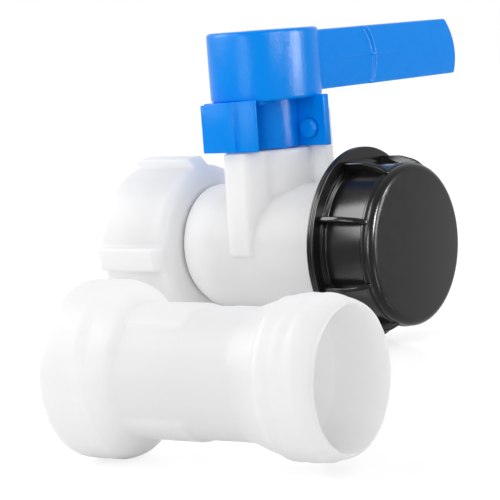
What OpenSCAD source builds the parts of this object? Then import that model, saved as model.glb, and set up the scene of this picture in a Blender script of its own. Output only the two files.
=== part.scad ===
// Water tank tap: a ball valve with a union nut for the tank, a lever with a push lock,
// a screwed dust cap, and a loose coupling pipe that belongs to the same set.
// Millimetres. X runs along the flow from the tank to the outlet and Z points up the stem.
// The origin is the centre of the union nut's mouth, where the tank's outlet screws in.

/* [Flow line] */
// Radius of the ball
ball_r = 21.5; // [19.5:0.5:22]
// Radius of the flow bore through the ball
bore_r = 15; // [11:0.5:15]
// Distance from the ball's centre to the back of each seat
seat_back = 19; // [18.5:0.25:20]
// Thickness of each seat ring along the flow
seat_t = 5.5; // [4.5:0.25:6]
// Length of the screwed ring that holds the outlet seat
retainer_len = 12; // [8:1:16]

/* [Body] */
// Wall of the barrel around the ball
barrel_wall = 4; // [3:0.5:5]
// Reach of the barrel from the ball's centre towards the tank
barrel_in = 33; // [28:0.5:34]
// Reach of the barrel from the ball's centre towards the outlet
barrel_out = 45; // [42:1:50]
// Rounding of the barrel's tank-side shoulder
shoulder_r = 3.5; // [2:0.5:5]
// Radius of the spigot that the union nut turns on
spigot_r = 21; // [20:0.25:22]
// Reach of that spigot from the ball's centre
spigot_reach = 52; // [50:0.5:60]
// Radius of the bore in the spigot
inlet_r = 16.5; // [12:0.5:16.5]
// Radius of the outlet's threaded end
outlet_r = 29.7; // [28:0.1:32]
// Length of the outlet's threaded end
outlet_len = 20; // [14:1:26]

/* [Tower] */
// Radius of the tower that carries the stem
tower_r = 18.5; // [17:0.5:20]
// Height of the tower's top above the flow line
tower_h = 41.5; // [38:0.5:46]
// Radius of the neck above the tower
neck_r = 10.4; // [9.8:0.1:11]
// Height of the neck above the tower
neck_h = 15; // [11:0.5:15]
// Distance from the stem's axis to the front of each upright rib
rib_reach = 27.5; // [26:0.5:30]
// Width of each rib's front
rib_w = 10.5; // [6:0.5:14]
// Width of each rib where it leaves the barrel
rib_base_w = 20; // [14:0.5:24]
// Height of each rib's lower end, below the flow line
rib_drop = 2; // [0:0.5:10]

/* [Stop lug] */
// Distance from the stem's axis to the near side of the stop lug
lug_x = 13.5; // [13:0.5:15]
// Width of the lug across the stem's axis
lug_w = 11.5; // [10:0.5:13]
// Distance from the stem's axis to the lug's front
lug_y = 6.5; // [6:0.25:7.5]
// Thickness of the lug
lug_t = 6; // [4:0.5:6]
// Height of the lug above the tower
lug_h = 16; // [11:0.5:17]

/* [Stem] */
// Radius of the stem
stem_r = 6.5; // [6.4:0.1:7]
// Side of the stem's square head
square_w = 9; // [7:0.25:9]
// Thickness of the tongue that turns the ball
tongue_t = 5.6; // [4:0.2:7]
// Length of the tongue
tongue_len = 15; // [11:0.5:16]
// Radius of the flange that keeps the stem in
flange_r = 9; // [8:0.25:9.5]
// Thickness of that flange
flange_t = 3; // [2:0.25:3.5]
// Thickness of the stem's thrust washer
thrust_t = 1.4; // [1:0.1:2]
// Cord radius of the two stem seals
stem_seal_r = 0.8; // [0.6:0.05:1]

/* [Handle] */
// Radius of the drum
drum_r = 24.1; // [23:0.1:27]
// Height of the drum
drum_h = 29.7; // [28:0.1:34]
// Wall of the drum
drum_wall = 2.4; // [1.6:0.2:3.2]
// Gap from the tower's top to the lock skirt
skirt_gap = 0.4; // [0.2:0.1:0.8]
// Height from the bottom of the lock skirt to the bottom of the drum
skirt_h = 20.8; // [17:0.1:23]
// Height by which the skirt's walls stand up beside the drum
skirt_lap = 0.6; // [0.2:0.1:3]
// Outer radius of the sleeve around the neck
sleeve_r = 14.2; // [12:0.1:14.4]
// Distance from the stem's axis to the lever's tip
lever_len = 146; // [100:1:180]
// Height of the lever
lever_h = 26.5; // [22:0.5:30]
// Width of the lever
lever_w = 13; // [10:0.5:16]
// Wall of the lever
lever_wall = 2.4; // [1.8:0.2:3]
// Distance from the stem's axis to the step of the lever's grip
grip_y = 75.5; // [60:0.5:90]
// Height of that step
grip_step = 1.4; // [0.6:0.1:2]

/* [Push lock] */
// Distance from the stem's axis to the pin's axis
pin_x = 19.7; // [18.7:0.1:20]
// Height of the pin's axis above the tower
pin_h = 7.9; // [6:0.1:9]
// Radius of the pin
pin_r = 4.2; // [3:0.1:4.3]
// Height by which the pin stands proud of the wall at rest
pin_proud = 0.9; // [0.5:0.1:1.5]
// Travel of the pin
pin_travel = 2.5; // [2:0.1:3]

/* [Union nut] */
// Radius of the nut
nut_r = 35; // [34:0.5:38]
// Gap between the nut's back and the barrel's shoulder
nut_gap = 2; // [1.5:0.5:6]
// Radius of its threaded mouth
nut_thread_r = 31; // [30.8:0.1:32]
// Depth of the thread, from the mouth to the gasket
nut_thread_len = 17; // [14:0.5:20]
// Thickness of the tank gasket on the spigot's end
tank_gasket_t = 2; // [1:0.25:3]
// Width of each grip lug
nut_lug_w = 10; // [8:0.5:16]
// Height of each grip lug
nut_lug_h = 3.7; // [2:0.1:5]
// Number of grip lugs
nut_lugs = 4; // [3:1:8]
// Angle of the first grip lug
nut_lug_angle = 4.5; // [0:0.5:90]

/* [Dust cap] */
// Radius of the cap's flange
cap_flange_r = 41; // [39:0.5:44]
// Thickness of the flange
cap_flange_t = 3; // [2:0.25:4]
// Radius of the cap's skirt
cap_r = 33.6; // [33:0.1:36]
// Radius inside the skirt
cap_bore_r = 30.3; // [30:0.1:32.4]
// Radius of the cap's face
cap_face_r = 32.75; // [31:0.25:33.5]
// Thickness of the cap's face
cap_face_t = 5.5; // [3.5:0.1:6]
// Thickness of the blade ribs
blade_t = 2.2; // [1.2:0.1:3]
// Number of blade ribs
blades = 8; // [4:1:12]
// Angle of the first blade rib
blade_angle = 22; // [0:1:45]
// Thickness of the cap's gasket
cap_gasket_t = 2; // [1:0.25:3]

/* [Coupling pipe] */
// Length of the pipe
pipe_len = 99; // [94:1:140]
// Radius of its bell end
bell_r = 29.2; // [28.5:0.1:32]
// Length of the bell, without its shoulder
bell_len = 14.5; // [12:0.5:24]
// Radius inside the bell
bell_bore_r = 26; // [24:0.1:27]
// Radius of the plain barrel
pipe_r = 21.1; // [20:0.1:21.8]
// Radius over the two raised pads
pad_r = 22.2; // [21.9:0.1:23]
// Turn of those pads about the pipe's axis
pad_turn = 8.5; // [0:0.5:45]
// Radius of the threaded collar
collar_r = 26.2; // [25:0.1:27]
// Length of the collar and its rounded tip
collar_len = 17; // [14:0.5:30]
// Radius of the socket inside the collar
socket_r = 22.6; // [21:0.1:23]
// Depth of that socket
socket_len = 20; // [14:0.5:22]
// Wall of the pipe's barrel
pipe_wall = 2.5; // [1.8:0.1:3]
// Place of the bell's end along the flow, from the ball's centre
pipe_x = 79.7; // [70:0.1:100]
// Distance of the bell's end in front of the flow line
pipe_y = 212.5; // [180:0.5:240]
// Turn of the pipe about the upright
pipe_turn = 3.5; // [0:0.5:20]

/* [Hidden] */
$fn = 72;

// Clearances: parts that slide or turn, parts that are pressed or screwed, and seals
run_gap = 0.05;
screw_gap = 0.1;
seal_gap = 0.05;
turn_gap = 0.4;
cut = 1;

// Flow line. The ball's centre lies this far from the union nut's mouth
ball_x = spigot_reach + tank_gasket_t + nut_thread_len;
chamber_r = ball_r + 0.5;
barrel_r = chamber_r + barrel_wall;
seat_r = chamber_r - screw_gap;
seat_bore_r = bore_r + 0.5;
seat_ball_gap = 0.15;
retainer_bore_r = bore_r + 1;
seat_seal_r = 1;
seat_seal_mid_r = (seat_bore_r + seat_r) / 2 + 0.6;
outlet_x = barrel_out + outlet_len;

// Stem, from the ball's slot up
slot_z = bore_r + 2;
slot_gap = 0.2;
flange_z = chamber_r + 0.4;
thrust_z = flange_z + flange_t + 0.1;
pocket_z = thrust_z + thrust_t + 0.1;
pocket_r = flange_r + 0.3;
neck_z = tower_h + neck_h;
bush_t = 1.5;
bush_len = 8;
bush_rim_t = 1.2;
bush_z = neck_z + bush_rim_t;
lower_seal_z = pocket_z + 6;
upper_seal_z = lower_seal_z + 6;
seal_groove_h = 2.5 * stem_seal_r;

// Handle, from the skirt up
skirt_z = tower_h + skirt_gap;
drum_z = skirt_z + skirt_h;
skirt_top = drum_z + skirt_lap;
drum_top = drum_z + drum_h;
drum_deck = 3;
socket_z = bush_z + 0.2;
square_top = drum_top - 9;
recess_r = 7.5;
recess_z = drum_top - 4.5;
screw_r = 2.45;
screw_head_r = 5;
washer_t = 1;
screw_head_t = 2.2;
plate_x1 = 11.5;
plate_y = drum_r - 0.1;
plate_t = 3;
front_r = drum_r + 2;
front_t = 2.2;
plate_split = 2.6;
deck_t = 1.5;
wall_t = 3;
side_wall_t = 2.5;
end_wall_x = 28.3;
end_lip = 1.3;
end_lip_rise = 0.7;
stop_gap = 0.5;
end_wall_y = lug_y - stop_gap;
// The stop at the open end: the side wall comes to rest against the lug's back
side_wall_x = lug_y + lug_t + stop_gap;
plate_x0 = -side_wall_x - side_wall_t;
lever_z = drum_z + (drum_h - lever_h) / 2 - 0.2;
lever_mid_z = lever_z + lever_h / 2;
lever_crown = 60;
// The tip and the step of the grip are arcs of these radii, centred this far above the lever's lower edge
tip_r = 41.5;
tip_axis = 5;
tip_cut = 6;
step_r = 28;
step_axis = 10.8;
lever_face = lever_w / 2;
lever_pockets = 5;
rib_t = 1.8;

// Push lock
pin_z = tower_h + pin_h;
pin_clear = 0.2;

// Union nut
nut_lip = 4;
nut_back = barrel_in + nut_gap;
nut_relief_r = nut_thread_r - 0.4;
ring_t = 3;
ring_r = 28.5;
ring_depth = 1.5;
ring_x = -nut_back - nut_lip - 0.3;
ring_split = 6;

// Dust cap
cap_start = barrel_out - 0.2;
cap_roof = outlet_x + cap_gasket_t + 0.05;
cap_end = cap_roof + cap_face_t;
floor_z = -cap_flange_r;

function arc(cx, cy, r, from, to, steps) =
    [for (i = [0:steps]) let (a = from + (to - from) * i / steps) [cx + r * cos(a), cy + r * sin(a)]];

module at_ball() {
    translate([ball_x, 0, 0]) children();
}

// Turns a profile of [radius, distance along the flow] points about the flow line
module turned(points) {
    rotate([0, 90, 0]) rotate_extrude() polygon(points);
}

module rod(r, from, to) {
    translate([from, 0, 0]) rotate([0, 90, 0]) cylinder(r = r, h = to - from);
}

module post(r, from, to) {
    translate([0, 0, from]) cylinder(r = r, h = to - from);
}

module pipe_post(r, hole, from, to) {
    difference() {
        post(r, from, to);
        post(hole, from - cut, to + cut);
    }
}

module block(low, high) {
    translate(low) cube(high - low);
}

module ring(mid, cord) {
    rotate_extrude() translate([mid, 0]) circle(r = cord, $fn = 32);
}

module stop_lug() {
    block([lug_x, lug_y, barrel_r - 10], [lug_x + lug_w, lug_y + lug_t, tower_h + lug_h]);
}

module upright_rib() {
    translate([0, 0, -rib_drop])
        linear_extrude(tower_h + rib_drop)
            polygon([[-rib_base_w / 2, -tower_r], [-rib_w / 2, -rib_reach], [rib_w / 2, -rib_reach],
                [rib_base_w / 2, -tower_r], [rib_base_w / 2, -tower_r / 2], [-rib_base_w / 2, -tower_r / 2]]);
}

module valve_body() {
    color("whitesmoke") at_ball() difference() {
        union() {
            turned(concat([[0, -spigot_reach], [spigot_r - 1, -spigot_reach], [spigot_r, 1 - spigot_reach],
                [spigot_r, -barrel_in]],
                arc(barrel_r - shoulder_r, shoulder_r - barrel_in, shoulder_r, -90, 0, 6),
                [[barrel_r, barrel_out], [outlet_r - 1, barrel_out + 1], [outlet_r, barrel_out + 2],
                [outlet_r, outlet_x - 1.5], [outlet_r - 1.5, outlet_x], [0, outlet_x]]));
            post(tower_r, 0, tower_h);
            post(neck_r, tower_h - 1, neck_z);
            upright_rib();
            mirror([0, 1, 0]) upright_rib();
            stop_lug();
        }
        rod(inlet_r, -spigot_reach - cut, 0);
        rod(chamber_r, -seat_back, outlet_x + cut);
        post(pocket_r, 0, pocket_z);
        post(stem_r + seal_gap * 2, pocket_z - cut, neck_z + cut);
        post(stem_r + bush_t + run_gap, neck_z - bush_len, neck_z + cut);
        translate([-seat_back, 0, 0]) rotate([0, 90, 0])
            seal_groove(-1);
        difference() {
            rod(spigot_r + cut, ring_x - ring_t - 0.1, ring_x + 0.1);
            rod(spigot_r - ring_depth, ring_x - ring_t - cut, ring_x + cut);
        }
        translate([pin_x, lug_y - cut, pin_z]) rotate([-90, 0, 0])
            cylinder(r = pin_r + pin_clear, h = pin_travel + 0.5 + cut);
    }
}

// The groove behind a seat; the sign says which way it is sunk along the flow
module seal_groove(sign) {
    depth = 2 * seat_seal_r + 0.2;
    translate([0, 0, sign < 0 ? -depth : -cut]) difference() {
        cylinder(r = seat_seal_mid_r + seat_seal_r + 0.1, h = depth + cut);
        translate([0, 0, -cut]) cylinder(r = seat_seal_mid_r - seat_seal_r - 0.1, h = depth + 3 * cut);
    }
}

module seat_ring() {
    difference() {
        rod(seat_r, seat_back - seat_t, seat_back);
        rod(seat_bore_r, 0, seat_back + cut);
        sphere(r = ball_r + seat_ball_gap);
    }
}

module inlet_seat() {
    color("ivory") at_ball() mirror([1, 0, 0]) seat_ring();
}

module outlet_seat() {
    color("ivory") at_ball() seat_ring();
}

module seat_seal() {
    translate([seat_back + seat_seal_r + seal_gap, 0, 0]) rotate([0, 90, 0]) ring(seat_seal_mid_r, seat_seal_r);
}

module inlet_seat_oring() {
    color("dimgray") at_ball() mirror([1, 0, 0]) seat_seal();
}

module outlet_seat_oring() {
    color("dimgray") at_ball() seat_seal();
}

module seat_retainer() {
    end = seat_back + retainer_len;
    notch = 6;
    color("white") at_ball() difference() {
        rod(seat_r, seat_back, end);
        rod(retainer_bore_r, seat_back - cut, end + cut);
        translate([seat_back, 0, 0]) rotate([0, 90, 0]) seal_groove(1);
        for (a = [45, 135]) rotate([a, 0, 0])
            block([end - 3, -notch / 2, -barrel_r], [end + cut, notch / 2, barrel_r]);
    }
}

module stem_bush() {
    color("ivory") at_ball() {
        pipe_post(stem_r + bush_t, stem_r + seal_gap * 2, neck_z - bush_len, neck_z);
        pipe_post(neck_r - 0.2, stem_r + seal_gap * 2, neck_z, bush_z);
    }
}

module nut_retaining_ring() {
    color("lightgray") at_ball() difference() {
        rod(ring_r, ring_x - ring_t, ring_x);
        rod(spigot_r - ring_depth + screw_gap, ring_x - ring_t - cut, ring_x + cut);
        block([ring_x - ring_t - cut, -ring_split / 2, -nut_r], [ring_x + cut, ring_split / 2, 0]);
    }
}

module tank_gasket() {
    color("dimgray") at_ball() difference() {
        rod(nut_relief_r - 0.3, -spigot_reach - tank_gasket_t, -spigot_reach);
        rod(inlet_r + 0.5, -spigot_reach - tank_gasket_t - cut, -spigot_reach + cut);
    }
}

module pipe_profile() {
    flare = pipe_len - collar_len - 15;
    bore = pipe_r - pipe_wall;
    polygon(concat(
        [[bell_bore_r, 0]],
        arc(bell_r - 2, 2, 2, -90, 0, 6),
        arc(bell_r - 3, bell_len - 1, 3, 0, 50, 5),
        [[pad_r + 0.9, bell_len + 7.5], [pipe_r, bell_len + 10.5], [pipe_r, flare],
        [pipe_r + 0.9, flare + 4], [collar_r - 1.2, flare + 10], [collar_r, flare + 15],
        [collar_r, pipe_len - 9.5], [collar_r - 1, pipe_len - 5]],
        arc(collar_r - 5, pipe_len - 4, 4, 0, 65, 6),
        [[socket_r + 0.6, pipe_len], [socket_r, pipe_len], [socket_r, pipe_len - socket_len],
        [bore, flare], [bore, bell_len], [bell_bore_r, bell_len]]));
}

module pipe_pad() {
    intersection() {
        difference() {
            cylinder(r = pad_r, h = bell_len + 32.2);
            translate([0, 0, -cut]) cylinder(r = pipe_r - 1, h = bell_len + 35);
        }
        translate([0, 0, bell_len + 4]) rotate([0, 0, 45]) cube([2 * pad_r, 2 * pad_r, 60]);
    }
}

module coupling_pipe() {
    color("white") at_ball() translate([pipe_x, -pipe_y, floor_z + bell_r]) rotate([0, 0, pipe_turn]) rotate([0, 90, 0])
        union() {
            rotate_extrude() pipe_profile();
            rotate([0, 0, 90 - pad_turn]) pipe_pad();
            rotate([0, 0, -90 - pad_turn]) pipe_pad();
        }
}

module drum_shell() {
    rotate_extrude() polygon(concat(
        [[sleeve_r - 0.5, drum_top]],
        arc(drum_r - 2, drum_top - 2, 2, 90, 0, 6),
        arc(drum_r - 0.8, drum_z + 0.8, 0.8, 0, -90, 3),
        [[drum_r - drum_wall, drum_z], [drum_r - drum_wall, drum_top - drum_deck],
        [sleeve_r - 0.5, drum_top - drum_deck]]));
}

module drum_ribs() {
    for (a = [0:60:300]) rotate([0, 0, a])
        block([sleeve_r - 1, -rib_t / 2, drum_z + 4], [drum_r - 1, rib_t / 2, drum_top - 1]);
}

// A bar along the lever whose far end is an arc and whose outer face is crowned
module lever_bar(face, from) {
    intersection() {
        block([-lever_w / 2, from, lever_z], [face + cut, lever_len, lever_z + lever_h]);
        union() {
            block([-lever_w, 0, lever_z - cut], [lever_w, lever_len - tip_r, lever_z + lever_h + cut]);
            translate([-lever_w, lever_len - tip_r, lever_z + tip_axis]) rotate([0, 90, 0])
                cylinder(r = tip_r, h = 2 * lever_w);
        }
        translate([face - lever_crown, 0, lever_mid_z]) rotate([-90, 0, 0])
            cylinder(r = lever_crown, h = lever_len + cut);
    }
}

module lever() {
    first = drum_r + 1;
    last = lever_len - tip_cut - lever_wall;
    bay = (last - first + rib_t) / lever_pockets;
    difference() {
        union() {
            lever_bar(lever_face, drum_r - drum_wall - 2);
            difference() {
                lever_bar(lever_face + grip_step, grip_y - step_r);
                translate([-lever_w, grip_y - step_r, lever_z + step_axis]) rotate([0, 90, 0])
                    cylinder(r = step_r, h = 2 * lever_w);
            }
        }
        for (i = [0:lever_pockets - 1]) let (y = first + i * bay)
            block([-lever_w, y, lever_z + lever_wall],
                [lever_face - 1.7 - lever_wall, y + bay - rib_t, lever_z + lever_h - lever_wall]);
    }
}

module lock_skirt() {
    // Front: a flat plate on the left, and a curved one that follows the drum on the right
    block([plate_x0, -plate_y - plate_t, skirt_z], [plate_split, -plate_y, skirt_top]);
    difference() {
        intersection() {
            post(front_r, skirt_z, skirt_top);
            block([plate_split - cut, -2 * drum_r, skirt_z - cut], [plate_x1, -drum_r / 2, skirt_top + cut]);
        }
        post(front_r - front_t, skirt_z - cut, skirt_top + cut);
    }
    // Deck that ties both to the drum
    intersection() {
        block([plate_x0, -plate_y - cut, drum_z - deck_t], [plate_x1, 0, skirt_top]);
        union() {
            post(front_r - front_t / 2, drum_z - deck_t, skirt_top);
            block([plate_x0, -2 * drum_r, drum_z - deck_t], [plate_split, 0, skirt_top]);
        }
    }
    // Side wall, which meets the stop lug when the valve is open
    block([plate_x0, -plate_y - cut, skirt_z], [-side_wall_x, drum_r - 2.5, skirt_top]);
    // End wall, which meets the stop lug when the valve is closed and carries the pin
    block([sleeve_r - 1, end_wall_y - wall_t, skirt_z], [end_wall_x, end_wall_y, skirt_top]);
    block([end_wall_x - end_lip, end_wall_y - wall_t - end_lip_rise, skirt_z],
        [end_wall_x, end_wall_y, skirt_top]);
}

module handle() {
    color("dodgerblue") at_ball() difference() {
        union() {
            drum_shell();
            drum_ribs();
            post(sleeve_r, skirt_z, drum_top - 1);
            lever();
            lock_skirt();
        }
        post(neck_r + turn_gap, skirt_z - cut, socket_z);
        translate([0, 0, socket_z - cut]) linear_extrude(square_top + 0.3 - socket_z + cut)
            square(square_w + 2 * run_gap, center = true);
        post(screw_r + 0.35, square_top, drum_top);
        post(recess_r, recess_z, drum_top + cut);
        translate([pin_x, 0, pin_z]) rotate([-90, 0, 0]) cylinder(r = pin_r + run_gap, h = end_wall_y + cut);
    }
}

module seal_cut(z) {
    difference() {
        post(stem_r + cut, z - seal_groove_h / 2, z + seal_groove_h / 2);
        post(stem_r - 2 * stem_seal_r, z - seal_groove_h, z + seal_groove_h);
    }
}

module stem() {
    color("whitesmoke") at_ball() difference() {
        union() {
            block([-tongue_len / 2, -tongue_t / 2, slot_z + slot_gap], [tongue_len / 2, tongue_t / 2, flange_z + 0.5]);
            post(flange_r, flange_z, flange_z + flange_t);
            post(stem_r, flange_z, bush_z - 0.1);
            translate([0, 0, bush_z - 0.5]) linear_extrude(square_top - bush_z + 0.5)
                square(square_w, center = true);
        }
        seal_cut(lower_seal_z);
        seal_cut(upper_seal_z);
        post(screw_r + run_gap, square_top - 19, square_top + cut);
    }
}

module stem_oring_lower() {
    color("dimgray") at_ball() translate([0, 0, lower_seal_z]) ring(stem_r - stem_seal_r + seal_gap, stem_seal_r);
}

module stem_oring_upper() {
    color("dimgray") at_ball() translate([0, 0, upper_seal_z]) ring(stem_r - stem_seal_r + seal_gap, stem_seal_r);
}

module stem_washer() {
    color("ivory") at_ball() pipe_post(flange_r, stem_r + 0.1, thrust_z, thrust_z + thrust_t);
}

module handle_screw() {
    head_z = recess_z + washer_t;
    color("silver") at_ball() difference() {
        union() {
            post(screw_r, square_top - 18, head_z + 0.5);
            post(screw_head_r, head_z, head_z + screw_head_t);
        }
        for (a = [0, 90]) rotate([0, 0, a])
            block([-3, -0.6, head_z + 0.8], [3, 0.6, head_z + screw_head_t + cut]);
    }
}

module handle_washer() {
    color("silver") at_ball() pipe_post(recess_r - 0.6, screw_r + 0.3, recess_z, recess_z + washer_t);
}

module screw_cover() {
    under = recess_z + washer_t + screw_head_t + 0.1;
    color("dodgerblue") at_ball() union() {
        post(recess_r - run_gap, under, drum_top - 0.1);
        pipe_post(recess_r - run_gap, screw_head_r + 0.6, recess_z + washer_t, under + 0.2);
    }
}

module ball() {
    color("ghostwhite") at_ball() difference() {
        sphere(r = ball_r);
        rotate([90, 0, 0]) cylinder(r = bore_r, h = 4 * ball_r, center = true);
        block([-tongue_len / 2 - slot_gap, -tongue_t / 2 - slot_gap, slot_z],
            [tongue_len / 2 + slot_gap, tongue_t / 2 + slot_gap, 2 * ball_r]);
    }
}

module lock_pin() {
    front = end_wall_y - wall_t - pin_proud;
    color("dodgerblue") at_ball() translate([pin_x, 0, pin_z]) rotate([-90, 0, 0]) union() {
        translate([0, 0, front]) cylinder(r1 = pin_r - 0.4, r2 = pin_r, h = 0.4);
        translate([0, 0, front + 0.4]) cylinder(r = pin_r, h = end_wall_y - front - 0.4);
    }
}

module nut_lug() {
    back = -nut_back;
    rotate([90, 0, 0]) translate([0, 0, -nut_lug_w / 2]) linear_extrude(nut_lug_w)
        polygon([[1 - ball_x, nut_r - 2.5], [1 - ball_x, nut_r + nut_lug_h - 0.8],
            [1.8 - ball_x, nut_r + nut_lug_h], [back - 5, nut_r + nut_lug_h], [back - 1.2, nut_r - 0.6],
            [back - 3, nut_r - 2.5]]);
}

module union_nut() {
    back = -nut_back;
    color("whitesmoke") at_ball() difference() {
        union() {
            turned(concat([[0, -ball_x], [nut_r - 0.8, -ball_x], [nut_r, 0.8 - ball_x]],
                arc(nut_r - 5, back - 5, 5, 0, 90, 8), [[0, back]]));
            for (i = [0:nut_lugs - 1]) rotate([nut_lug_angle + i * 360 / nut_lugs, 0, 0]) nut_lug();
        }
        rod(nut_thread_r, -ball_x - cut, nut_thread_len - ball_x);
        rod(nut_relief_r, nut_thread_len - ball_x - cut, back - nut_lip);
        rod(spigot_r + turn_gap, back - nut_lip - cut, back + cut);
    }
}

module cap_gasket() {
    color("dimgray") at_ball() rod(cap_bore_r - 0.3, outlet_x, outlet_x + cap_gasket_t);
}

// One blade, drawn as its side view between the flange and the face
module cap_blade() {
    root = cap_start + cap_flange_t - 0.5;
    run = cap_end - 3.5 - root - 10;
    fall = 4.6;
    bend_r = (pow(run, 2) + pow(fall, 2)) / (2 * fall);
    rotate([90, 0, 0]) translate([0, 0, -blade_t / 2]) linear_extrude(blade_t)
        polygon(concat([[root, cap_r - 1], [root, cap_r + 5]],
            arc(root + 10, cap_r + 5 - bend_r, bend_r, 90, 90 - asin(run / bend_r), 8),
            [[root + 10 + run, cap_r - 2.5]]));
}

module dust_cap() {
    flange_end = cap_start + cap_flange_t;
    color("black") at_ball() difference() {
        union() {
            turned(concat([[0, cap_start], [cap_flange_r - 0.6, cap_start], [cap_flange_r, cap_start + 0.6],
                [cap_flange_r, flange_end - 0.6], [cap_flange_r - 0.6, flange_end],
                [cap_r + 1.8, flange_end], [cap_r + 1.8, flange_end + 0.9], [cap_r, flange_end + 1.4],
                [cap_r, cap_roof - 2.6], [cap_r + 0.5, cap_roof - 2], [cap_r + 0.5, cap_roof - 0.6],
                [cap_face_r, cap_roof]],
                arc(cap_face_r - 3, cap_end - 3, 3, 0, 90, 6), [[0, cap_end]]));
            for (i = [0:blades - 1]) rotate([blade_angle + i * 360 / blades, 0, 0]) cap_blade();
        }
        rod(cap_bore_r, cap_start - cut, cap_roof);
    }
}

valve_body();
inlet_seat();
outlet_seat();
inlet_seat_oring();
outlet_seat_oring();
seat_retainer();
stem_bush();
nut_retaining_ring();
tank_gasket();
coupling_pipe();
handle();
stem();
stem_oring_lower();
stem_oring_upper();
stem_washer();
handle_screw();
handle_washer();
screw_cover();
ball();
lock_pin();
union_nut();
cap_gasket();
dust_cap();
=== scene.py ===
import math
import bmesh
import bpy
from mathutils import Matrix, Vector


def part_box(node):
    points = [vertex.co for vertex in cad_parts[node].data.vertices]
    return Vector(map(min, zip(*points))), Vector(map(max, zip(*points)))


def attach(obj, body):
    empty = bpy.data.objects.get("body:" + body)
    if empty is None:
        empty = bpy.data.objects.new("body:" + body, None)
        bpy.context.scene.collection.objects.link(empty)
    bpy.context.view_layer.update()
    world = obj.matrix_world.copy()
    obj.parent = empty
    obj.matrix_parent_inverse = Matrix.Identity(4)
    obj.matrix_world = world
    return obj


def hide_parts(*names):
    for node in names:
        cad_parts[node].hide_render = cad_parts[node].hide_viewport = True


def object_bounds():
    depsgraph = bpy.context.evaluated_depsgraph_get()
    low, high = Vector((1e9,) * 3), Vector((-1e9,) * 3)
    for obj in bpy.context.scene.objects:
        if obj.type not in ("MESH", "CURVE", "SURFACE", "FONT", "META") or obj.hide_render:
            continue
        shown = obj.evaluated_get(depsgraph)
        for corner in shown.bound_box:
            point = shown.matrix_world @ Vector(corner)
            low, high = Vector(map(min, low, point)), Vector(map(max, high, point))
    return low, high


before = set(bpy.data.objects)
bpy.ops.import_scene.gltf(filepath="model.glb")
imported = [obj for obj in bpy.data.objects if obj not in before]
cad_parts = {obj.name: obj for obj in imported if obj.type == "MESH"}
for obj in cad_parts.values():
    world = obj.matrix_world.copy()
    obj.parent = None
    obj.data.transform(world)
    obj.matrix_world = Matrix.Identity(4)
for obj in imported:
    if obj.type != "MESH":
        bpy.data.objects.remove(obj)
cad_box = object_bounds()


# Valve body. One white polyethylene moulding: the barrel round the ball, a little fuller below, the
# tower and neck for the stem, two upright ribs, the stop lug, the spigot on the tank's side and the
# coarse-threaded outlet. Its walls run into each other in small fillets, and its bores are turned.
mm = 0.001
FLOW, BACK, UP = Vector((1, 0, 0)), Vector((0, 1, 0)), Vector((0, 0, 1))
ball_low, ball_high = map(Vector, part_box("ball"))
hub = Vector(((ball_low.x + ball_high.x) / 2, 0, 0))


def soften(corners, steps=5):
    """An outline from corners of (across, along, radius), each rounded by an arc of its radius."""
    outline = []
    for i, (u, v, radius) in enumerate(corners):
        here = Vector((u, v))
        if not radius:
            outline.append(here)
            continue
        to_last = (Vector(corners[i - 1][:2]) - here).normalized()
        to_next = (Vector(corners[(i + 1) % len(corners)][:2]) - here).normalized()
        half = to_last.angle(to_next) / 2
        centre = here + (to_last + to_next).normalized() * radius / math.sin(half)
        first = (here + to_last * radius / math.tan(half) - centre).normalized()
        last = (here + to_next * radius / math.tan(half) - centre).normalized()
        outline += [centre + first.slerp(last, step / steps) * radius for step in range(steps + 1)]
    return outline


def pour(shell, into):
    """Adds one finished shell to a piece's mesh."""
    bmesh.ops.remove_doubles(shell, verts=shell.verts[:], dist=0.002 * mm)
    bmesh.ops.recalc_face_normals(shell, faces=shell.faces[:])
    made = bpy.data.meshes.new("shell")
    shell.to_mesh(made)
    shell.free()
    into.from_mesh(made)
    bpy.data.meshes.remove(made)


def turn(into, outline, centre=hub, along=FLOW, out=BACK, steps=128):
    """Spins an outline of (radius, distance), in millimetres, once round an axis."""
    shell = bmesh.new()
    ring = [shell.verts.new(centre + (out * r + along * d) * mm) for r, d in outline]
    edges = [shell.edges.new(pair) for pair in zip(ring, ring[1:] + ring[:1])]
    bmesh.ops.spin(shell, geom=ring + edges, cent=centre, axis=along, angle=math.tau, steps=steps,
                   use_merge=True)
    pour(shell, into)


def ease_edges(shell, radius):
    """Rounds every edge of a shell that turns by more than 40 degrees."""
    bmesh.ops.recalc_face_normals(shell, faces=shell.faces[:])
    sharp = [e for e in shell.edges if e.calc_face_angle(0) > math.radians(40)]
    bmesh.ops.bevel(shell, geom=sharp, offset=radius * mm, offset_type="OFFSET", affect="EDGES",
                    segments=3, profile=0.5, material=-1, clamp_overlap=True)


def slab(into, outline, place, push, soft=0.0, taper=(1, 1, 1)):
    """Pushes a flat outline along a vector into a plate, its far end scaled and its edges rounded."""
    shell = bmesh.new()
    face = shell.faces.new([shell.verts.new(hub + Vector(place(u, v)) * mm) for u, v in outline])
    pushed = bmesh.ops.extrude_face_region(shell, geom=[face])["geom"]
    moved = [v for v in pushed if isinstance(v, bmesh.types.BMVert)]
    bmesh.ops.translate(shell, verts=moved, vec=Vector(push) * mm)
    bmesh.ops.scale(shell, verts=moved, vec=taper, space=Matrix.Translation(-hub))
    if soft:
        ease_edges(shell, soft)
    pour(shell, into)


def block(into, low, high, soft=0.0):
    """A plate between two corners in millimetres from the ball's centre."""
    x0, y0, z0 = low
    x1, y1, z1 = high
    slab(into, [(x0, y0), (x1, y0), (x1, y1), (x0, y1)], lambda u, v: (u, v, z0), (0, 0, z1 - z0), soft)


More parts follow.
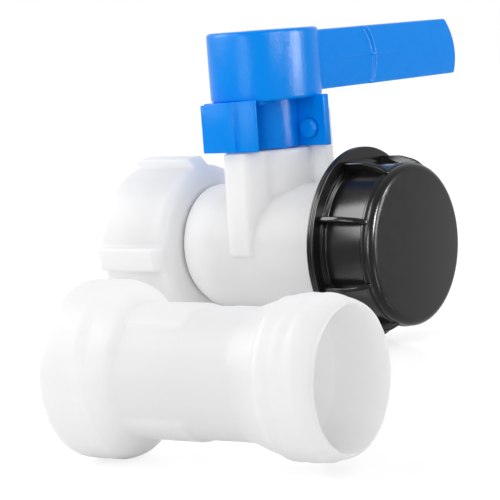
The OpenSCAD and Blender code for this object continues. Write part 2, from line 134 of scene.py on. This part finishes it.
def worm(into, section, start, pitch, turns, centre=hub, along=FLOW, out=BACK, steps=64):
    """Winds a section of (radius, distance) into a thread that rises and dies in a quarter turn."""
    shell = bmesh.new()
    ring = [shell.verts.new(centre + (out * r + along * (start + d)) * mm) for r, d in section]
    face = shell.faces.new(ring)
    count = round(turns * steps)
    bmesh.ops.spin(shell, geom=shell.verts[:] + shell.edges[:] + [face], cent=centre, axis=along,
                   dvec=along * pitch / steps * mm, angle=math.tau * turns, steps=count)
    root = section[0][0] * mm
    run_in = steps / 4
    for i, vert in enumerate(shell.verts):
        step = i // len(ring)
        full = min(1, step / run_in, (count - step) / run_in)
        spoke = vert.co - centre
        spoke -= along * spoke.dot(along)
        vert.co += spoke * ((root + (spoke.length - root) * full) / spoke.length - 1)
    pour(shell, into)


def piece(name, mesh, finish, body, slot, *nodes, sharp=32):
    """Makes a named piece of a mesh, gives it its finish and puts it on its body."""
    made = bpy.data.meshes.new(name)
    mesh.to_mesh(made)
    mesh.free()
    made.shade_smooth()
    made.set_sharp_from_angle(angle=math.radians(sharp))
    made.materials.append(finish)
    thing = bpy.data.objects.new(name, made)
    bpy.context.scene.collection.objects.link(thing)
    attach(thing, body)
    if nodes:
        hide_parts(*nodes)
    return thing


class Wire:
    """A shader socket that can stand in sums and products."""

    def __init__(self, tree, socket=None):
        self.tree = tree
        self.socket = socket

    def node(self, kind, settings={}, inputs={}, out=0):
        """Adds a node of a kind: its settings come first, then its sockets' values or links."""
        made = self.tree.nodes.new("ShaderNode" + kind)
        for name, value in settings.items():
            setattr(made, name, value)
        for name, value in inputs.items():
            if isinstance(value, Wire):
                self.tree.links.new(value.socket, made.inputs[name])
            else:
                made.inputs[name].default_value = value
        return Wire(self.tree, made.outputs[out] if made.outputs else None)

    def __add__(self, other):
        return self.node("Math", {"operation": "ADD"}, {0: self, 1: other})

    def __mul__(self, other):
        return self.node("Math", {"operation": "MULTIPLY"}, {0: self, 1: other})

    __radd__ = __add__
    __rmul__ = __mul__


def new_finish(name):
    """An empty material and the wire that its nodes start from."""
    made = bpy.data.materials.new(name)
    made.use_nodes = True
    made.node_tree.nodes.clear()
    return made, Wire(made.node_tree)


def close_finish(made, wire, inputs):
    """Ends a material in one Principled shader."""
    shader = wire.node("BsdfPrincipled", {}, inputs)
    wire.node("OutputMaterial", {}, {"Surface": shader})
    return made


def moulded(name, colour, rough, grain, depth, cloud=0.03, flow=(1, 1, 1), **constants):
    """Moulded plastic: a fine tool grain, clouds drawn out where the melt flowed, uneven gloss."""
    clouds_per_metre, scuffs_per_metre, gloss_range = 90.0, 160.0, 0.12
    made, wire = new_finish(name)
    place = wire.node("TexCoord", out=3)
    drawn = wire.node("Mapping", {}, {"Vector": place, "Scale": flow})
    clouds = wire.node("TexNoise", {}, {"Vector": drawn, "Scale": clouds_per_metre, "Detail": 4.0})
    scuffs = wire.node("TexNoise", {}, {"Vector": place, "Scale": scuffs_per_metre, "Detail": 6.0})
    tool_grain = wire.node("TexNoise", {}, {"Vector": place, "Scale": 1 / grain, "Detail": 2.0})
    dark = tuple(c * (1 - cloud) for c in colour) + (1,)
    pale = tuple(min(1, c * (1 + cloud)) for c in colour) + (1,)
    tint = wire.node("Mix", {"data_type": "RGBA"}, {0: clouds, 6: dark, 7: pale}, out=2)
    bump = wire.node("Bump", {}, {"Strength": 0.5, "Distance": depth, "Height": tool_grain})
    uneven = rough - gloss_range / 2 + scuffs * gloss_range
    inputs = {"Base Color": tint, "Roughness": uneven, "Normal": bump}
    inputs.update(constants)
    return close_finish(made, wire, inputs)


natural_white = (0.905, 0.905, 0.905)
milky = {"Subsurface Weight": 1.0, "Subsurface Radius": (1, 1, 1), "Specular IOR Level": 0.04}
white_plastic = moulded("milky white polyethylene", natural_white, 0.40, 0.9 * mm, 0.03 * mm, cloud=0.02,
                        **milky, **{"Subsurface Scale": 9 * mm})

spigot_r, spigot_end, inlet_r, chamber_r, chamber_back = 21, -52, 16.5, 22, -19
barrel_r, barrel_back, barrel_front, belly_r, belly_drop = 26, -33, 45, 24, 4
outlet_end, thread_root, thread_crest, coarse_pitch = 65, 28.2, 29.7, 6
tower_r, tower_top, neck_r, neck_top = 18.5, 41.5, 10.4, 56.5
outside = bmesh.new()
turn(outside, soften([(0, spigot_end, 0), (spigot_r, spigot_end, 1), (spigot_r, barrel_back, 1.5),
                      (barrel_r, barrel_back, 3.5), (barrel_r, barrel_front, 0),
                      (thread_root, barrel_front + 2, 0.5), (thread_root, outlet_end, 1),
                      (0, outlet_end, 0)]))
belly = soften([(0, barrel_back + 2, 0), (belly_r, barrel_back + 2, 3.5), (belly_r, barrel_front + 1, 0),
                (0, barrel_front + 1, 0)])
turn(outside, belly, hub - UP * belly_drop * mm)
turn(outside, soften([(0, 0, 0), (tower_r, 0, 0), (tower_r, tower_top, 1), (0, tower_top, 0)]), along=UP)
turn(outside, soften([(0, tower_top - 1.5, 0), (neck_r, tower_top - 1.5, 0), (neck_r, neck_top, 0.6),
                      (0, neck_top, 0)]), along=UP)
rib_plan = [(-10, -18.5), (-5.2, -27.6), (5.2, -27.6), (10, -18.5), (10, -9), (-10, -9)]
rib_low, rib_taper = -2, (1.02, 0.96, 1)
for side in (-1, 1):
    slab(outside, rib_plan, lambda u, v: (u, side * v, rib_low), (0, 0, tower_top - rib_low), 0.5, rib_taper)
lug_front, lug_t, lug_left, lug_right, lug_low = 6.5, 6, 13.5, 25, 16
block(outside, (lug_left, lug_front, lug_low), (lug_right, lug_front + lug_t, tower_top + 16), 0.8)
ridge = [(thread_root - 0.6, -2.2), (thread_crest, -0.8), (thread_crest, 0.8), (thread_root - 0.6, 2.2)]
worm(outside, ridge, barrel_front + 4.5, coarse_pitch, 2.2)

bores = bmesh.new()
turn(bores, [(0, spigot_end - 8), (inlet_r, spigot_end - 8), (inlet_r, chamber_back),
             (chamber_r, chamber_back), (chamber_r, outlet_end + 5), (0, outlet_end + 5)])
washer_r, washer_top, stem_r, bush_r, bush_low = 9.3, 27.1, 6.6, 8.05, 48.5
stem_bore = bmesh.new()
turn(stem_bore, [(0, 0), (washer_r, 0), (washer_r, washer_top), (stem_r, washer_top), (stem_r, bush_low),
                 (bush_r, bush_low), (bush_r, neck_top + 3.5), (0, neck_top + 3.5)], along=UP, steps=64)
pin_x, pin_z, pin_r = 19.7, 49.4, 4.2
pin_axis = hub + Vector((pin_x, 0, pin_z)) * mm
pin_bore = bmesh.new()
turn(pin_bore, [(0, lug_front - 1.5), (pin_r + 0.2, lug_front - 1.5), (pin_r + 0.2, lug_front + 3),
                (0, lug_front + 3)], pin_axis, BACK, UP, 64)


def plain(name, mesh):
    """A helper object with a mesh and nothing else."""
    made = bpy.data.meshes.new(name)
    mesh.to_mesh(made)
    mesh.free()
    thing = bpy.data.objects.new(name, made)
    bpy.context.scene.collection.objects.link(thing)
    return thing


def carve(mesh, *tools, weld=0.0, ease=8):
    """Cuts tools out of a mesh. A weld, in millimetres, first melts its parts into one skin, and
    ease says how often that skin is smoothed into small fillets."""
    blank = plain("blank", mesh)
    if weld:
        skin = blank.modifiers.new("skin", "REMESH")
        skin.mode = "VOXEL"
        skin.voxel_size = weld * mm
        fillets = blank.modifiers.new("fillets", "SMOOTH")
        fillets.factor = 0.5
        fillets.iterations = ease
    cutters = [plain("cutter", tool) for tool in tools]
    for cutter in cutters:
        cut = blank.modifiers.new("cut", "BOOLEAN")
        cut.object = cutter
        cut.solver = "MANIFOLD"
    bpy.context.view_layer.update()
    cast = blank.evaluated_get(bpy.context.evaluated_depsgraph_get()).to_mesh()
    carved = bmesh.new()
    carved.from_mesh(cast)
    for thing in [blank] + cutters:
        bpy.data.objects.remove(thing)
    return carved


valve_body = carve(outside, bores, stem_bore, pin_bore, weld=0.65, ease=4)
piece("valve_body_moulding", valve_body, white_plastic, "tap_body", "white_plastic", "valve_body", sharp=50)


# Seats, ball, stem and seals. A hollow plastic ball turns between two waxy seat rings, each
# backed by a rubber ring. A screwed retainer holds the outlet seat, and the stem's tongue turns
# the ball. These pieces keep their turned shapes and only get their finishes.
seat_plastic = moulded("waxy seat ring", (0.80, 0.79, 0.74), 0.30, 1.5 * mm, 0.01 * mm)
seal_rubber = moulded("black seal rubber", (0.022, 0.022, 0.023), 0.60, 0.5 * mm, 0.02 * mm, cloud=0.2)
ball_plastic = moulded("polished ball", (0.84, 0.845, 0.85), 0.16, 2 * mm, 0.004 * mm)


def dress(finish, *nodes):
    """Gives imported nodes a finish, their shapes left as they are."""
    for node in nodes:
        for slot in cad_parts[node].material_slots:
            slot.material = finish


dress(seat_plastic, "inlet_seat", "outlet_seat", "stem_washer", "stem_bush", "nut_retaining_ring")
dress(seal_rubber, "inlet_seat_oring", "outlet_seat_oring", "stem_oring_lower", "stem_oring_upper",
      "tank_gasket", "cap_gasket")
dress(ball_plastic, "ball")
dress(white_plastic, "stem", "seat_retainer")


# Union nut. White polyethylene, turned by hand by four broad lugs, with a coarse thread in its
# mouth for the tank's outlet. Its back is a shallow cone that closes in to a lip, which bears on the
# retaining ring, and the lip's inner edge is cut back to clear the barrel's fillet.
nut_mouth, nut_back, nut_r, nut_lug_r, nut_lug_w, first_lug = -71, -35, 35, 38.7, 10, 4.5
nut_bore, nut_crest, thread_back, ring_room_r, lip_r, lip_t = 31.4, 30.2, -54, 30.6, 21.4, 4
cone_end, cone_end_r, lip_cut_r = nut_back + 1.8, 26.2, 23.2
union_nut = bmesh.new()
turn(union_nut, soften([(nut_bore, nut_mouth, 0.5), (nut_r - 0.6, nut_mouth, 0.6),
                        (nut_r, nut_mouth + 2, 0.6), (nut_r, nut_back - 0.4, 5), (cone_end_r, cone_end, 0.8),
                        (lip_cut_r, cone_end, 0.3), (lip_r, nut_back - 0.2, 0.4),
                        (lip_r, nut_back - lip_t, 0.3), (ring_room_r, nut_back - lip_t, 0.5),
                        (ring_room_r, thread_back, 0), (nut_bore, thread_back, 0)]), steps=160)
nut_ridge = [(nut_bore + 0.6, -2.2), (nut_crest, -0.7), (nut_crest, 0.7), (nut_bore + 0.6, 2.2)]
worm(union_nut, nut_ridge, nut_mouth + 3, coarse_pitch, 2)
lug_profile = [(nut_mouth + 1, 32), (nut_mouth + 1, nut_lug_r - 0.8), (nut_mouth + 1.8, nut_lug_r),
               (nut_back - 5, nut_lug_r), (nut_back - 1.2, nut_r - 0.6), (nut_back - 3, 32)]


def swing(shell, degrees, axis):
    """Turns a shell about an axis through the ball's centre."""
    turned_by = Matrix.Rotation(math.radians(degrees), 4, axis)
    bmesh.ops.rotate(shell, verts=shell.verts[:], cent=hub, matrix=turned_by)


for quarter in range(4):
    lug = bmesh.new()
    slab(lug, lug_profile, lambda u, v: (u, -nut_lug_w / 2, v), (0, nut_lug_w, 0), 0.9)
    swing(lug, first_lug + 90 * quarter, "X")
    pour(lug, union_nut)
piece("union_nut_moulding", carve(union_nut, weld=0.6, ease=4), white_plastic, "nut", "white_plastic",
      "union_nut", sharp=60)


# Handle. One blue polypropylene moulding: a drum that is open below, a sleeve that turns on the
# neck, a lock skirt with a flat and a curved front plate and an end wall for the push button, and a
# long lever. The lever is a crowned channel, ribbed behind, and its grip is a shallow step thicker.
blue_plastic = moulded("blue polypropylene", (0.0, 0.262, 0.90), 0.20, 0.6 * mm, 0.27 * mm, cloud=0.05,
                       IOR=1.15)
drum_low, drum_top, drum_r, drum_wall, roof_t, cover_r = 62.7, 92.4, 24.1, 2.4, 3, 7.5
skirt_low, skirt_top = 41.9, 63.3
sleeve_r, sleeve_bore, sleeve_roof, socket_r, spoke_t = 14.2, 10.8, 57.9, 6.6, 1.8
handle = bmesh.new()
turn(handle, soften([(cover_r, drum_top, 0.3), (drum_r, drum_top, 1.8), (drum_r, drum_low, 1.4),
                     (drum_r - drum_wall, drum_low, 0.4), (drum_r - drum_wall, drum_top - roof_t, 1),
                     (sleeve_r - 1, drum_top - roof_t, 0), (sleeve_r - 1, drum_top - roof_t - 1.5, 0),
                     (cover_r, drum_top - roof_t - 1.5, 0)]), along=UP, steps=160)
turn(handle, soften([(sleeve_bore, skirt_low, 0.2), (sleeve_r, skirt_low, 0.3),
                     (sleeve_r, drum_top - roof_t - 0.5, 0), (socket_r, drum_top - roof_t - 0.5, 0),
                     (socket_r, sleeve_roof, 0), (sleeve_bore, sleeve_roof, 0)]), along=UP)
for spoke in range(6):
    rib = bmesh.new()
    block(rib, (sleeve_r - 1, -spoke_t / 2, drum_low + 4), (drum_r - 1, spoke_t / 2, drum_top - 2))
    swing(rib, 60 * spoke, "Z")
    pour(rib, handle)

# The skirt's plan runs round its side wall, its flat front and, past a fine split line, its bend.
front_r, front_t, front_y, front_in, split = 26.1, 2.2, -27, -24, 2.4
side_out, side_in, side_back = -15.5, -13, 21.5
bend = [math.radians(a) for a in range(-82, -63, 2)]
bend_out = [(front_r * math.cos(a), front_r * math.sin(a)) for a in bend]
bend_in = [((front_r - front_t) * math.cos(a), (front_r - front_t) * math.sin(a)) for a in reversed(bend)]
split_line = [(split - 0.5, -25.9), (split + 0.4, -25.7), (split + 0.9, -25.88)]
skirt_plan = [(side_out, side_back), (side_out, front_y), (split - 0.5, front_y)] + split_line
skirt_plan += bend_out + bend_in + [(split, front_in), (side_in, front_in), (side_in, side_back)]
skirt = bmesh.new()
skirt_height = skirt_top - skirt_low
slab(skirt, skirt_plan, lambda u, v: (u, v, skirt_low), (0, 0, skirt_height), 0.35)
top_slope, side_drop = 0.05, 0.9
for vert in skirt.verts:
    rise = top_slope * ((vert.co.x - hub.x) / mm - side_out) - side_drop
    vert.co.z += rise * mm * max(0, (vert.co.z - hub.z) / mm - skirt_low) / skirt_height
pour(skirt, handle)
recess_roof = [(side_out + 1, -25.5), (split - 1, -25.5), (split, -22), (11, -19), (11, 0), (side_out + 1, 0)]
slab(handle, recess_roof, lambda u, v: (u, v, drum_low - 1.5), (0, 0, 1.8), 0.2)
wall_front, wall_back, wall_edge, wall_end = 3, 6, 27, 28.3
wall_plan = [(sleeve_r - 1, wall_front), (wall_edge, wall_front), (wall_edge, wall_front - 0.7),
             (wall_end, wall_front - 0.7), (wall_end, wall_back), (sleeve_r - 1, wall_back)]
end_wall = bmesh.new()
slab(end_wall, wall_plan, lambda u, v: (u, v, skirt_low), (0, 0, skirt_top + 0.3 - skirt_low), 0.45)
pin_hole = bmesh.new()
turn(pin_hole, [(0, 0), (pin_r + 0.25, 0), (pin_r + 0.25, wall_back + 2), (0, wall_back + 2)],
     pin_axis, BACK, UP, 64)
pour(carve(end_wall, pin_hole), handle)

# The lever's face starts as a flat grid that is set out along the lever and crowned point by point.
# Rows crowd towards the middle line and the edges, columns towards the grip's step and the tip.
lever_low, lever_high, lever_tip, lever_root = 64.1, 90.6, 146, 20
lever_face, lever_back, lever_wall, crown_r = 6.5, -6.5, 2.4, 60
tip_r, tip_axis = 41.5, 5
grip_y, grip_r, grip_axis, grip_rise, rise_width = 75.5, 28, 10.8, 1.4, 2.2
seam_rise, seam_width, seam_middle, seam_reach = 0.28, 0.35, 70, 28
half_height = (lever_high - lever_low) / 2
mid = (lever_high + lever_low) / 2


def arc_dip(z, radius, axis):
    """How far an arc round a centre at height axis above the lever's edge falls back at height z."""
    return radius - math.sqrt(radius ** 2 - (z - lever_low - axis) ** 2)


def rounding(depth, radius=0.9):
    """How far a rounded edge falls back at a depth from the edge."""
    return radius - math.sqrt(radius ** 2 - max(0, radius - depth) ** 2)


def run_through(share, stops):
    """The value at a share of the way through stops of (share, value)."""
    for (start, low), (end, high) in zip(stops, stops[1:]):
        if share <= end + 1e-6:
            return low + (high - low) * (share - start) / (end - start)


lever = bmesh.new()
bmesh.ops.create_grid(lever, x_segments=120, y_segments=80, size=1)
for vert in lever.verts:
    across, up = (vert.co.x + 1) / 2, vert.co.y
    z = mid + (up - 0.12 * math.sin(math.tau * up)) * half_height
    tip = lever_tip - arc_dip(z, tip_r, tip_axis)
    step = grip_y - arc_dip(z, grip_r, grip_axis)
    y = run_through(across, [(0, lever_root), (0.4, step - rise_width / 2), (0.55, step + rise_width / 2),
                             (0.85, tip - 1), (1, tip)])
    climb = min(1, max(0, (y - step) / rise_width + 0.5))
    thick = grip_rise * climb * climb * (3 - 2 * climb)
    seam = seam_rise * math.exp(-((z - mid) / seam_width) ** 2)
    seam *= math.exp(-((y - seam_middle) / seam_reach) ** 4)
    crown = crown_r - math.sqrt(crown_r ** 2 - (z - mid) ** 2)
    edge = rounding(max(0, half_height - abs(z - mid))) + rounding(max(0, tip - y))
    vert.co = hub + Vector((lever_face + thick + seam - crown - edge, y, z)) * mm
rim = [e for e in lever.edges if e.is_boundary]
walls = bmesh.ops.extrude_edge_only(lever, edges=rim)["geom"]
for vert in walls:
    if isinstance(vert, bmesh.types.BMVert):
        vert.co.x = hub.x + lever_back * mm
bmesh.ops.recalc_face_normals(lever, faces=lever.faces[:])
if sum(f.normal.x for f in lever.faces) < 0:
    bmesh.ops.reverse_faces(lever, faces=lever.faces[:])
bmesh.ops.solidify(lever, geom=lever.faces[:], thickness=lever_wall * mm)
pour(lever, handle)
channel_root, tip_cut, web_t = 25.1, 6, 1.8
bay = (lever_tip - tip_cut - lever_wall - channel_root + web_t) / 5
for web in range(1, 5):
    y = channel_root + web * bay - web_t
    block(handle, (lever_back + 0.3, y, lever_low + 1), (lever_face - 2, y + web_t, lever_high - 1), 0.2)
piece("lever_handle", handle, blue_plastic, "lever_and_ball", "blue_plastic", "handle")
dress(blue_plastic, "screw_cover")


# Handle screw and washer. A plain steel pan-head screw holds the handle down on the stem's square
# head, on a steel washer in the drum's recess, under the blue cover.
screw_steel, wire = new_finish("plain screw steel")
place = wire.node("TexCoord", out=3)
brushed = wire.node("TexNoise", {}, {"Vector": place, "Scale": 900.0, "Detail": 3.0})
close_finish(screw_steel, wire, {"Base Color": (0.56, 0.56, 0.55, 1), "Metallic": 1.0,
                                 "Roughness": 0.25 + brushed * 0.2})
dress(screw_steel, "handle_screw", "handle_washer")


# Lock pin. A blue push button that slides through the end wall of the skirt. Its slightly domed end
# stands proud at rest. Pushed in, its far end enters the hole in the stop lug and holds the handle.
button_end, dome_r = 0.7, 2.6
lock_pin = bmesh.new()
turn(lock_pin, soften([(0, button_end, 0), (dome_r, button_end + 0.03, 0), (pin_r, button_end + 0.2, 0.8),
                       (pin_r, wall_back, 0.3), (0, wall_back, 0)]), pin_axis, BACK, UP, 64)
piece("lock_button", lock_pin, blue_plastic, "lock", "blue_plastic", "lock_pin")


# Dust cap. Black satin plastic: a thin wide flange, a skirt with a coarse thread inside, a round
# closed face with a soft rim, and eight thin blades that give the fingers their hold.
black_plastic = moulded("black satin plastic", (0.007, 0.007, 0.0073), 0.20, 0.7 * mm, 0.06 * mm, cloud=0.15,
                        **{"Specular IOR Level": 0.18})
cap_low, cap_roof, cap_face, cap_bore, cap_crest = 44.8, 67.05, 72.55, 30.3, 29.0
skirt_r, flange_r, flange_top, face_r = 33.6, 41, 47.8, 33.8
dust_cap = bmesh.new()
rim_of_face = [(0, cap_face, 0), (face_r, cap_face, 3.2), (face_r, cap_roof + 1.7, 0.2)]
bead = [(skirt_r - 0.2, cap_roof + 1.2, 0.3), (skirt_r + 0.5, cap_roof + 0.3, 0.3),
        (skirt_r + 0.5, cap_roof - 0.5, 0.3), (skirt_r, cap_roof - 1.1, 0.3)]
flange = [(skirt_r, flange_top + 1.4, 0.5), (skirt_r + 1.8, flange_top + 0.9, 0.3),
          (skirt_r + 1.8, flange_top, 0.3), (flange_r, flange_top, 0.5)]
for fine_line in (46.7, 45.8):
    flange += [(flange_r, fine_line + 0.2, 0), (flange_r - 0.3, fine_line, 0), (flange_r, fine_line - 0.2, 0)]
flange += [(flange_r, cap_low, 0.5)]
hollow = [(cap_bore, cap_low, 0.4), (cap_bore, cap_roof, 0.4), (0, cap_roof, 0)]
turn(dust_cap, soften(rim_of_face + bead + flange + hollow), steps=160)
cap_ridge = [(cap_bore + 0.6, -1.3), (cap_crest, -0.3), (cap_crest, 0.3), (cap_bore + 0.6, 1.3)]
worm(dust_cap, cap_ridge, flange_top + 4.7, coarse_pitch, 1.8)
blade_start, blade_end, blade_r, blade_t, first_blade = 47.3, 69.1, 38.7, 2.2, 22
blade = soften([(blade_start, 32.5, 0), (blade_start, blade_r, 0.6), (57.5, blade_r, 14), (65, 36.8, 10),
                (blade_end, 34.2, 1.2), (blade_end, 31.5, 0)])
for i in range(8):
    fin = bmesh.new()
    slab(fin, blade, lambda u, v: (u, -blade_t / 2, v), (0, blade_t, 0), 0.7)
    swing(fin, first_blade + 45 * i, "X")
    pour(fin, dust_cap)
piece("dust_cap_moulding", dust_cap, black_plastic, "cap", "black_plastic", "dust_cap")


# Coupling pipe. The loose white pipe of the set: a bell at one end, a plain barrel with a raised
# pad above and below, and a flared collar with a coarse rounded thread and a thin-walled mouth.
pipe_r, pipe_bore, pipe_len, pipe_turn = 21.1, 18.6, 99, math.radians(3.5)
bell_r, bell_bore, bell_len, bell_depth = 29.2, 26, 14.3, 14.5
collar_r, collar_crest, collar_pitch, mouth_r = 25.7, 25.98, 5.2, 22.6
pipe_along = Vector((math.cos(pipe_turn), math.sin(pipe_turn), 0))
pipe_end = hub + Vector((79.7, -212.5, bell_r - 41)) * mm
coupling_pipe = bmesh.new()
bell = [(0, 0, 0), (bell_r, 0, 2), (bell_r, bell_len, 3), (28.1, 17.4, 2), (22.6, 22.3, 2), (pipe_r, 24.8, 3)]
flare = [(pipe_r, 66.5, 12), (24.6, 77.5, 9), (collar_r, 82, 6), (collar_r, 92.6, 0.6)]
mouth = [(25.1, 93.3, 0.3), (24.6, 96, 5), (mouth_r + 0.8, pipe_len, 0.6), (0, pipe_len, 0)]
turn(coupling_pipe, soften(bell + flare + mouth, steps=7), pipe_end, pipe_along, UP, 160)
collar_ridge = soften([(collar_r - 0.5, -2.5, 0), (collar_crest, -1.0, 1.6), (collar_crest, 1.0, 1.6),
                       (collar_r - 0.5, 2.5, 0)], steps=4)
worm(coupling_pipe, collar_ridge, 79.8, collar_pitch, 2.4, pipe_end, pipe_along, UP, 96)
pad_r, pad_start, pad_end, pad_half, pad_turn = 22.0, 18, 46.7, 46, 8.5
pad_section = [(pipe_r - 1, pad_start), (pad_r, pad_start), (pad_r, pad_end), (pipe_r - 1, pad_end)]
for side in (-1, 1):
    pad = bmesh.new()
    first = Matrix.Rotation(math.radians(-pad_turn - pad_half), 3, pipe_along) @ (UP * side)
    corners = [pad.verts.new(pipe_end + (first * r + pipe_along * d) * mm) for r, d in pad_section]
    face = pad.faces.new(corners)
    bmesh.ops.spin(pad, geom=pad.verts[:] + pad.edges[:] + [face], cent=pipe_end, axis=pipe_along,
                   angle=math.radians(2 * pad_half), steps=40)
    ease_edges(pad, 0.6)
    pour(pad, coupling_pipe)
pipe_bores = bmesh.new()
turn(pipe_bores, soften([(0, -3, 0), (bell_bore, -3, 0), (bell_bore, bell_depth, 0.8),
                         (pipe_bore, bell_depth, 0.8), (pipe_bore, 64, 8), (mouth_r, 79, 4),
                         (mouth_r, pipe_len + 3, 0), (0, pipe_len + 3, 0)]),
     pipe_end, pipe_along, UP, 160)
pipe_plastic = moulded("milky pipe polyethylene", natural_white, 0.40, 0.9 * mm, 0.03 * mm, cloud=0.06,
                       flow=(0.08, 1, 1), **milky, **{"Subsurface Scale": 12 * mm})
piece("coupling_pipe_moulding", carve(coupling_pipe, pipe_bores, weld=0.6), pipe_plastic, "tap_body",
      "pipe_plastic", "coupling_pipe", sharp=40)


# Studio. A white floor that keeps the shadows, an evenly white room, two soft lamps, four more that
# only make highlights, and the camera where the photograph was taken, about level with the drum's top.
floor_size = 6.0
floor_z = cad_box[0][2]
sheet = bmesh.new()
bmesh.ops.create_grid(sheet, x_segments=1, y_segments=1, size=floor_size / 2)
bmesh.ops.translate(sheet, verts=sheet.verts[:], vec=(0, 0, floor_z))
floor = plain("floor", sheet)
floor_finish, wire = new_finish("studio floor")


def straight(wire):
    """1 for what the camera sees directly, in a mirror or through glass, and 0 for the rest."""
    rays = [wire.node("LightPath", out=f"Is {kind} Ray") for kind in ("Camera", "Glossy", "Transmission")]
    return rays[0] + rays[1] + rays[2]


paper = wire.node("BsdfDiffuse", {}, {"Color": (0.90, 0.90, 0.90, 1)})
shadows = wire.node("BsdfDiffuse", {}, {"Color": (0.25, 0.25, 0.25, 1)})
glow = wire.node("Emission", {}, {"Color": (1, 1, 1, 1), "Strength": 0.77})
shine = wire.node("BsdfGlossy", {}, {"Color": (0.10, 0.10, 0.10, 1), "Roughness": 0.12})
lit = wire.node("AddShader", {}, {0: shadows, 1: glow})
shown = wire.node("AddShader", {}, {0: lit, 1: shine})
floor_look = wire.node("MixShader", {}, {0: straight(wire), 1: paper, 2: shown})
wire.node("OutputMaterial", {}, {"Surface": floor_look})
floor.data.materials.append(floor_finish)

world = bpy.data.worlds.new("studio")
bpy.context.scene.world = world
world.use_nodes = True
world.node_tree.nodes.clear()
wire = Wire(world.node_tree)
room = wire.node("Background", {}, {"Color": (1, 1, 1, 1), "Strength": 0.94})
white = wire.node("Background", {}, {"Color": (1, 1, 1, 1), "Strength": 1.0})
room_look = wire.node("MixShader", {}, {0: straight(wire), 1: room, 2: white})
wire.node("OutputWorld", {}, {"Surface": room_look})


def lamp(name, bearing, rise, reach, width, height, power, sheen_only=False):
    """A soft lamp at a bearing and a rise in degrees from the valve's front, so many metres away. A
    sheen-only one shows in the gloss and lights nothing."""
    light = bpy.data.lights.new(name, "AREA")
    light.shape = "RECTANGLE"
    light.size = width
    light.size_y = height
    light.energy = power
    thing = bpy.data.objects.new(name, light)
    thing.visible_diffuse = not sheen_only
    bpy.context.scene.collection.objects.link(thing)
    bearing, rise = math.radians(bearing), math.radians(rise)
    flat = Vector((math.sin(bearing), -math.cos(bearing), 0))
    towards = flat * math.cos(rise) + UP * math.sin(rise)
    facing = towards.to_track_quat("Z", "Y").to_matrix().to_4x4()
    middle = hub + Vector((20, -30, 20)) * mm
    thing.matrix_world = Matrix.Translation(middle + towards * reach) @ facing


lamp("key lamp", -20, 20, 1.05, 0.6, 0.6, 0.95)
lamp("key sheen", -58, 31, 1.05, 0.8, 0.72, 36, sheen_only=True)
lamp("side lamp", 108, 12, 0.93, 0.25, 0.62, 0.15)
lamp("side sheen", 108, 12, 0.93, 0.2, 0.7, 60, sheen_only=True)
lamp("rim sheen", 68, 25, 1.0, 0.2, 0.45, 30, sheen_only=True)
lamp("front sheen", -6, 5, 0.95, 0.16, 0.6, 9, sheen_only=True)

yaw, rise, roll = math.radians(37.48), math.radians(6.62), math.radians(4.28)
distance, aside, below, lens = 0.8686, -0.01182, -0.00309, 143.64
away = Vector((math.sin(yaw) * math.cos(rise), -math.cos(yaw) * math.cos(rise), math.sin(rise)))
level = Vector((math.cos(yaw), math.sin(yaw), 0))
upright = away.cross(level)
right = level * math.cos(roll) - upright * math.sin(roll)
top = level * math.sin(roll) + upright * math.cos(roll)
camera = bpy.data.objects.new("camera", bpy.data.cameras.new("camera"))
camera.data.lens = lens
camera.data.sensor_width = 36
camera.data.clip_end = 20
turned_to = Matrix((right, top, away)).transposed().to_4x4()
camera.matrix_world = Matrix.Translation(hub + right * aside + top * below + away * distance) @ turned_to
bpy.context.scene.collection.objects.link(camera)
bpy.context.scene.camera = camera
bpy.context.scene.view_settings.view_transform = "Standard"
